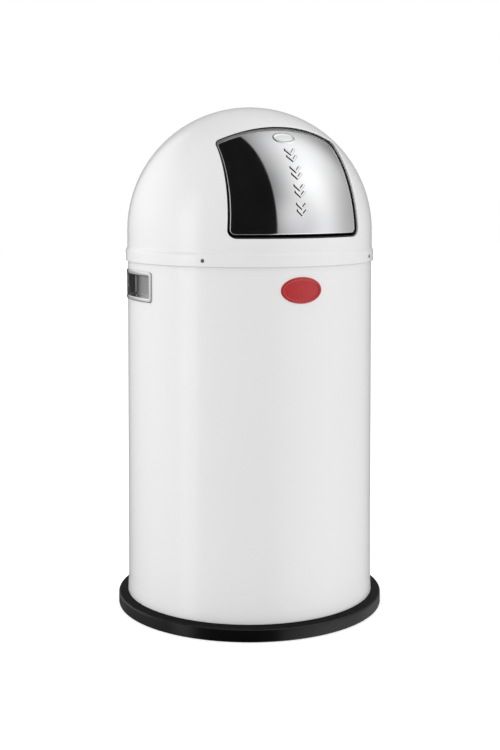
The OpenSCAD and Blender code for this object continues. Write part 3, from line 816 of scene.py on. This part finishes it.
# ---------------------------------------------------------------- collar screws
def screws():
    parts = []
    n = 48
    a = np.linspace(0, 2 * math.pi, n, endpoint=False)
    lobe = 1 + 0.13 * np.cos(6 * a)
    steps = [(1.45, -2.6, 0), (1.5, -2.3, 0), (1.5, 0.04, 0), (2.5, 0.04, 0), (2.6, 0.12, 0), (2.6, 0.42, 0), (2.5, 0.62, 0), (2.25, 0.82, 0),
             (1.85, 0.97, 0), (1.45, 1.03, 1), (1.34, 1.0, 1), (1.28, 0.86, 1), (1.22, 0.45, 1), (1.0, 0.38, 1)]
    for deg in (45, 135, 225, 315):
        loops = []
        for r, h, l in steps:
            rr = r * (lobe if l else np.ones(n))
            loops.append(np.stack([rr * np.cos(a), np.full(n, -(BEAD_R + h)), SCREW_Z + rr * np.sin(a)], -1))
        v = np.concatenate(loops + [np.array([[0, -(BEAD_R - 2.6), SCREW_Z], [0, -(BEAD_R + 0.36), SCREW_Z]])])
        f = grid_faces(len(steps), n, False, True).tolist()
        c = len(steps) * n
        f += [[i, (i + 1) % n, c] for i in range(n)] + [[c - n + i, c - n + (i + 1) % n, c + 1] for i in range(n)]
        parts.append((rot_z(v, deg), f))
    v, f = merge(*parts)
    make("collar_screw_heads", v, f, "dark_steel", "dome", ["collar_screws"], sharp=50)


screws()


# ---------------------------------------------------------------- hinge: rod and the two wound springs
def rod():
    prof = [(0.001, -58), (2.5, -58), (3.0, -57.5), (3.0, -52), (3.0, 52), (3.0, 57.5), (2.5, 58), (0.001, 58)]
    n = 40
    a = np.linspace(0, 2 * math.pi, n, endpoint=False)
    loops = [np.stack([np.full(n, h), HINGE[1] + r * np.cos(a), HINGE[2] + r * np.sin(a)], -1) for r, h in prof]
    v = np.concatenate(loops)
    f = grid_faces(len(prof), n, False, True).tolist()
    f += [list(range(n))[::-1], [(len(prof) - 1) * n + i for i in range(n)]]
    make("hinge_rod_turned", v, f, "zinc_plate", "dome", ["hinge_rod"], sharp=30)


rod()


def spring(side):
    w, rc = 0.8, 4.3
    turns = 3.25
    x0, x1 = 43.3, 48.7
    # from the short leg's root (front of the rod) round to the long leg's root (back of the rod)
    k = np.linspace(0, 1, 150)
    ang = math.pi + 2 * math.pi * (turns + 0.25) * k
    path = np.stack([x0 + (x1 - x0) * k, HINGE[1] + rc * np.cos(ang), HINGE[2] + rc * np.sin(ang)], -1)
    d_long = np.array([0, math.sin(math.radians(35)), math.cos(math.radians(35))])
    d_short = np.array([0, -math.sin(math.radians(20)), -math.cos(math.radians(20))])
    end = path[-1]
    start = path[0]
    long_leg = [end + d_long * s for s in np.linspace(1.2, 21, 14)]
    short_leg = [start + d_short * s for s in np.linspace(11, 1.2, 9)]
    pts = np.concatenate([short_leg, path, long_leg])
    # ease the two bends
    for _ in range(3):
        q = pts.copy()
        for i in list(range(5, 14)) + list(range(len(pts) - 20, len(pts) - 9)):
            q[i] = (pts[i - 1] + 2 * pts[i] + pts[i + 1]) / 4
        pts = q
    v, f = sweep(pts, w, 14)
    v = v * np.array([side, 1, 1])
    name = "right" if side > 0 else "left"
    make(f"return_spring_{name}_wire", v, f, "spring_steel", "dome", [f"return_spring_{name}"], sharp=60)


spring(1)
spring(-1)


# ---------------------------------------------------------------- liner and bail
def liner():
    r, z, t = LINER_R, LINER_Z, LINER_T
    prof = round_poly([(r - 3, 7.5), (r - 1, 7.5), (r, 8.7), (r, z - 61), (r + 1, z - 57), (r, z - 53), (r, z - 4.5)],
                      [0, 0.6, 1.5, 2.5, 3, 2.5, 0], 5, False).tolist()
    prof += arc(r + 0.6, z - 2.2, 2.2, -90, 90, 14).tolist()
    prof += round_poly([(r - t, z - 0.1), (r - t, z - 53), (r - t + 1, z - 57), (r - t, z - 61), (r - t, 15), (r - 2.4, 12.4), (150, 12.4),
                        (60, 12.4), (52, 13.6), (0.01, 13.6)], [0, 2.5, 3, 2.5, 0, 2, 0, 3, 3, 0], 5, False).tolist()
    prof += round_poly([(0.01, 13.0), (52, 13.0), (60, 11.8), (r - 3, 11.8)], [0, 3, 3, 0], 5, False).tolist()
    make("liner_pail", *revolve(np.array(prof), 240), "galvanised_sheet", "liner", ["liner_bucket"], sharp=35)


liner()


def bail():
    a = np.radians(np.linspace(4, 176, 110))
    arcp = np.stack([BAIL_R * np.cos(a), BAIL_R * np.sin(a), np.zeros_like(a)], -1)
    arcp = rot_x(arcp, BAIL_TILT) + np.array([0, 0, BAIL_PZ])
    right = np.array([[161.0, 0, 0], [162.5, 0, 0], [164.0, 0.1, 0], [165.4, 0.9, 0.1], [166.1, 2.6, 0.3], [166.4, 5.5, 0.7]]) + np.array([0, 0, BAIL_PZ])
    left = right[::-1] * np.array([-1, 1, 1])
    pts = np.concatenate([right, arcp, left])
    v, f = sweep(pts, 2.4, 18)
    make("bail_bow", v, f, "galvanised_sheet", "bail", ["bail_wire"], sharp=60)
    # moulded sleeve: flanged ends and shallow finger ridges
    b = np.radians(np.linspace(71, 109, 78))
    c = np.stack([BAIL_R * np.cos(b), BAIL_R * np.sin(b), np.zeros_like(b)], -1)
    k = np.linspace(0, 1, len(b))
    rad = 5.75 + 0.28 * np.cos(k * 2 * math.pi * 9)
    rad += 0.65 * np.exp(-((k / 0.035) ** 2)) + 0.65 * np.exp(-(((1 - k) / 0.035) ** 2))
    rad = np.minimum(rad, 6.4)
    rad[0] = rad[-1] = 5.9
    n = 28
    g = np.linspace(0, 2 * math.pi, n, endpoint=False)
    rings = []
    prof = [(i, rr) for i, rr in enumerate(rad)] + [(len(b) - 1, 2.46)] + [(i, 2.46) for i in range(len(b) - 8, 7, -8)] + [(0, 2.46)]
    for i, rr in prof:
        er = np.array([math.cos(b[i]), math.sin(b[i]), 0])
        rings.append(c[i] + rr * (np.cos(g)[:, None] * er + np.sin(g)[:, None] * np.array([0, 0, 1.0])))
    v = rot_x(np.concatenate(rings), BAIL_TILT) + np.array([0, 0, BAIL_PZ])
    make("bail_sleeve", v, grid_faces(len(rings), n), "black_plastic", "bail", ["bail_grip"], sharp=50)


bail()

# ---------------------------------------------------------------- CAD nodes that stay, with their own materials
replaced = set()
for o in bpy.context.scene.objects:
    replaced |= set(o.get("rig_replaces", []))
SLOTS = {r["node"]: r.get("material_slot") for r in frame["record"]["subparts"]}
for name, o in NODES.items():
    if name not in replaced:
        o.data.materials.clear()
        o.data.materials.append(M[SLOTS[name]])


# ---------------------------------------------------------------- stage
def stage_mesh(name, verts, faces, mat):
    me = bpy.data.meshes.new(name)
    me.from_pydata(verts, [], faces)
    me.materials.append(mat)
    o = bpy.data.objects.new(name, me)
    bpy.context.scene.collection.objects.link(o)
    return o


CAM_AZ = -24.6   # the camera's side of the front, in degrees: negative is towards -X


def heading(az, el):
    """Unit vector az degrees to the right of the camera's side, as the camera sees it, and el degrees up."""
    a, e = math.radians(CAM_AZ + az), math.radians(el)
    return (math.sin(a) * math.cos(e), -math.cos(a) * math.cos(e), math.sin(e))


class Glow:
    """Brightness by direction, summed from soft lobes, in a node tree."""

    def __init__(self, nt, vec):
        self.nt = nt
        n = nt.nodes.new("ShaderNodeVectorMath")
        n.operation = "NORMALIZE"
        nt.links.new(vec, n.inputs[0])
        self.dir = n.outputs[0]

    def math(self, op, *args):
        m = self.nt.nodes.new("ShaderNodeMath")
        m.operation = op
        for s, v in zip(m.inputs, args):
            if isinstance(v, (int, float)):
                s.default_value = v
            else:
                self.nt.links.new(v, s)
        return m.outputs[0]

    def dot(self, v):
        d = self.nt.nodes.new("ShaderNodeVectorMath")
        d.operation = "DOT_PRODUCT"
        self.nt.links.new(self.dir, d.inputs[0])
        d.inputs[1].default_value = v
        return d.outputs["Value"]

    def lobes(self, table):
        total = None
        for az, el, tight, amount in table:
            if tight == 0:
                k = self.math("ADD", float(amount), 0.0)
            else:
                e = self.math("EXPONENT", self.math("MULTIPLY_ADD", self.dot(heading(az, el)), float(tight), -float(tight)))
                k = self.math("MULTIPLY", e, float(amount))
            total = k if total is None else self.math("ADD", total, k)
        return total

    def edge(self, v, lo, hi):
        m = self.nt.nodes.new("ShaderNodeMapRange")
        m.interpolation_type = "SMOOTHSTEP"
        m.inputs["From Min"].default_value = lo
        m.inputs["From Max"].default_value = hi
        self.nt.links.new(v, m.inputs["Value"])
        return m.outputs[0]


# azimuth from the camera's side, elevation, tightness (0: everywhere), amount
SOFT_LIGHT = [(0, 0, 0, 0.843), (-120, 10, 2.2, 0.016), (-60, 15, 8, 0.034), (60, 15, 8, 0.065), (-95, 15, 8, 1.387),
              (95, 15, 8, 1.059), (-30, 15, 8, 0.278)]
RIGHT_TENT = [(0, 0, 0, 0.043), (40, -12, 18, 0.034), (40, 14, 18, 0.535), (40, 40, 18, 0.034), (40, 66, 18, 0.067),
              (56, 14, 16, 0.032), (56, 40, 16, 0.333), (56, 66, 16, 0.092), (76, -12, 14, 0.316), (76, 14, 14, 0.489),
              (76, 40, 14, 0.533), (76, 66, 14, 0.063), (98, -12, 12, 0.049), (98, 14, 12, 0.102), (98, 40, 12, 0.216),
              (98, 66, 12, 0.116), (122, -12, 12, 0.254), (122, 14, 12, 0.082), (122, 40, 12, 0.416), (122, 66, 12, 0.567),
              (60, -45, 6, 1.452), (120, -45, 6, 0.329), (180, 30, 10, 0.299)]
LEFT_TENT = [(-54, 6, 40, 0.623), (-66, -22, 30, 0.099), (-66, 6, 30, 0.259), (-84, -22, 18, 0.246), (-84, 6, 18, 0.475),
             (-108, 6, 14, 0.724), (-108, 30, 14, 0.408), (-132, 6, 12, 0.228), (-132, 30, 12, 0.415),
             (-160, 6, 10, 0.259), (-160, 30, 10, 0.407), (-110, 50, 8, 0.037)]
LEFT_STRIP = [(-58, -20, 5, 0.453), (-58, 15, 5, 0.799), (-58, 45, 5, 0.041)]


def world():
    """White behind the object; every other ray gets the soft light."""
    w = bpy.data.worlds.new("studio")
    bpy.context.scene.world = w
    w.use_nodes = True
    nt = w.node_tree
    nt.nodes.clear()
    out = nt.nodes.new("ShaderNodeOutputWorld")
    soft, white = nt.nodes.new("ShaderNodeBackground"), nt.nodes.new("ShaderNodeBackground")
    g = Glow(nt, nt.nodes.new("ShaderNodeTexCoord").outputs["Generated"])
    soft.inputs[0].default_value = white.inputs[0].default_value = (1, 1, 1, 1)
    nt.links.new(g.lobes(SOFT_LIGHT), soft.inputs[1])
    lp, mx = nt.nodes.new("ShaderNodeLightPath"), nt.nodes.new("ShaderNodeMixShader")
    nt.links.new(lp.outputs["Is Camera Ray"], mx.inputs[0])
    nt.links.new(soft.outputs[0], mx.inputs[1])
    nt.links.new(white.outputs[0], mx.inputs[2])
    nt.links.new(mx.outputs[0], out.inputs[0])


def tent():
    """A far shell that only reflections see: a dark side towards the camera between two lit sides."""
    mat = bpy.data.materials.new("studio_tent")
    mat.use_nodes = True
    nt = mat.node_tree
    nt.nodes.clear()
    out, e = nt.nodes.new("ShaderNodeOutputMaterial"), nt.nodes.new("ShaderNodeEmission")
    g = Glow(nt, nt.nodes.new("ShaderNodeTexCoord").outputs["Object"])
    right = g.edge(g.dot(heading(26 + 90, 0)), -0.012, 0.012)
    left = g.edge(g.dot(heading(-46 - 90, 0)), -0.06, 0.06)
    left = g.math("MULTIPLY", left, g.math("SUBTRACT", 1.0, right))
    left = g.math("MULTIPLY", left, g.math("SUBTRACT", 1.0, g.edge(g.dot((0, 0, 1)), 0.58, 0.74)))
    strip = g.math("MULTIPLY", g.edge(g.dot(heading(-48.5 - 90, 0)), -0.02, 0.02),
                   g.math("SUBTRACT", 1.0, g.edge(g.dot(heading(-67 - 90, 0)), -0.05, 0.05)))
    strip = g.math("MULTIPLY", strip, g.math("SUBTRACT", 1.0, right))
    strip = g.math("MULTIPLY", strip, g.math("SUBTRACT", 1.0, g.edge(g.dot((0, 0, 1)), 0.40, 0.62)))
    total = g.math("ADD", g.math("MULTIPLY", right, g.lobes(RIGHT_TENT)), g.math("MULTIPLY", left, g.lobes(LEFT_TENT)))
    total = g.math("ADD", total, g.math("MULTIPLY", strip, g.lobes(LEFT_STRIP)))
    total = g.math("ADD", total, 0.007)
    nt.links.new(total, e.inputs["Strength"])
    nt.links.new(e.outputs[0], out.inputs[0])
    mat.cycles.emission_sampling = "NONE"
    R, n, m = 12.0, 48, 24
    vs = [(R * math.sin(math.pi * j / m) * math.cos(2 * math.pi * i / n), R * math.sin(math.pi * j / m) * math.sin(2 * math.pi * i / n),
           R * math.cos(math.pi * j / m)) for i in range(n) for j in range(1, m)] + [(0, 0, R), (0, 0, -R)]
    k = m - 1
    fs = [(i * k + j, i * k + j + 1, (i + 1) % n * k + j + 1, (i + 1) % n * k + j) for i in range(n) for j in range(k - 1)]
    fs += [(n * k, i * k, (i + 1) % n * k) for i in range(n)] + [(n * k + 1, (i + 1) % n * k + k - 1, i * k + k - 1) for i in range(n)]
    o = stage_mesh("studio_tent", vs, fs, mat)
    o.location = (0, 0, 0.40)
    o.visible_camera = o.visible_diffuse = o.visible_shadow = o.visible_transmission = o.visible_volume_scatter = False
    return o


def floor():
    """Pale floor that the camera sees as white; reflections see the tent below it instead."""
    m = Mat("studio_floor", Base_Color=(0.90, 0.90, 0.90, 1), Roughness=0.9, IOR=1.2)
    m.set(Base_Color=m.ramp(m.noise(2.0, 3.0), [(0.3, (0.895, 0.895, 0.895)), (0.7, (0.905, 0.905, 0.905))]))
    m.b.inputs["Emission Color"].default_value = (1, 1, 1, 1)
    lp = m.add("ShaderNodeLightPath")
    m.set(Emission_Strength=m.math("MULTIPLY", lp.outputs["Is Camera Ray"], FLOOR_LIFT))
    o = stage_mesh("studio_floor", [(-9, -9, -0.0003), (9, -9, -0.0003), (9, 9, -0.0003), (-9, 9, -0.0003)], [(0, 1, 2, 3)], m.mat)
    o.visible_glossy = False
    return o


FLOOR_LIFT = 0.45
world()
tent()
floor()

# ---------------------------------------------------------------- camera, as the photograph's
cam = bpy.data.cameras.new("camera")
cam.sensor_width = 36.0
cam.lens = 62.472
cam.shift_x, cam.shift_y = 0.00067, -0.18667
cam.clip_start, cam.clip_end = 0.01, 60.0
co = bpy.data.objects.new("camera", cam)
bpy.context.scene.collection.objects.link(co)
co.location = (-0.8275, -1.8073, 0.6453)
co.rotation_euler = (math.radians(87.544), 0.0, math.radians(-24.6))
bpy.context.scene.camera = co
bpy.context.scene.view_settings.view_transform = "Standard"
bpy.context.scene.view_settings.look = "None"
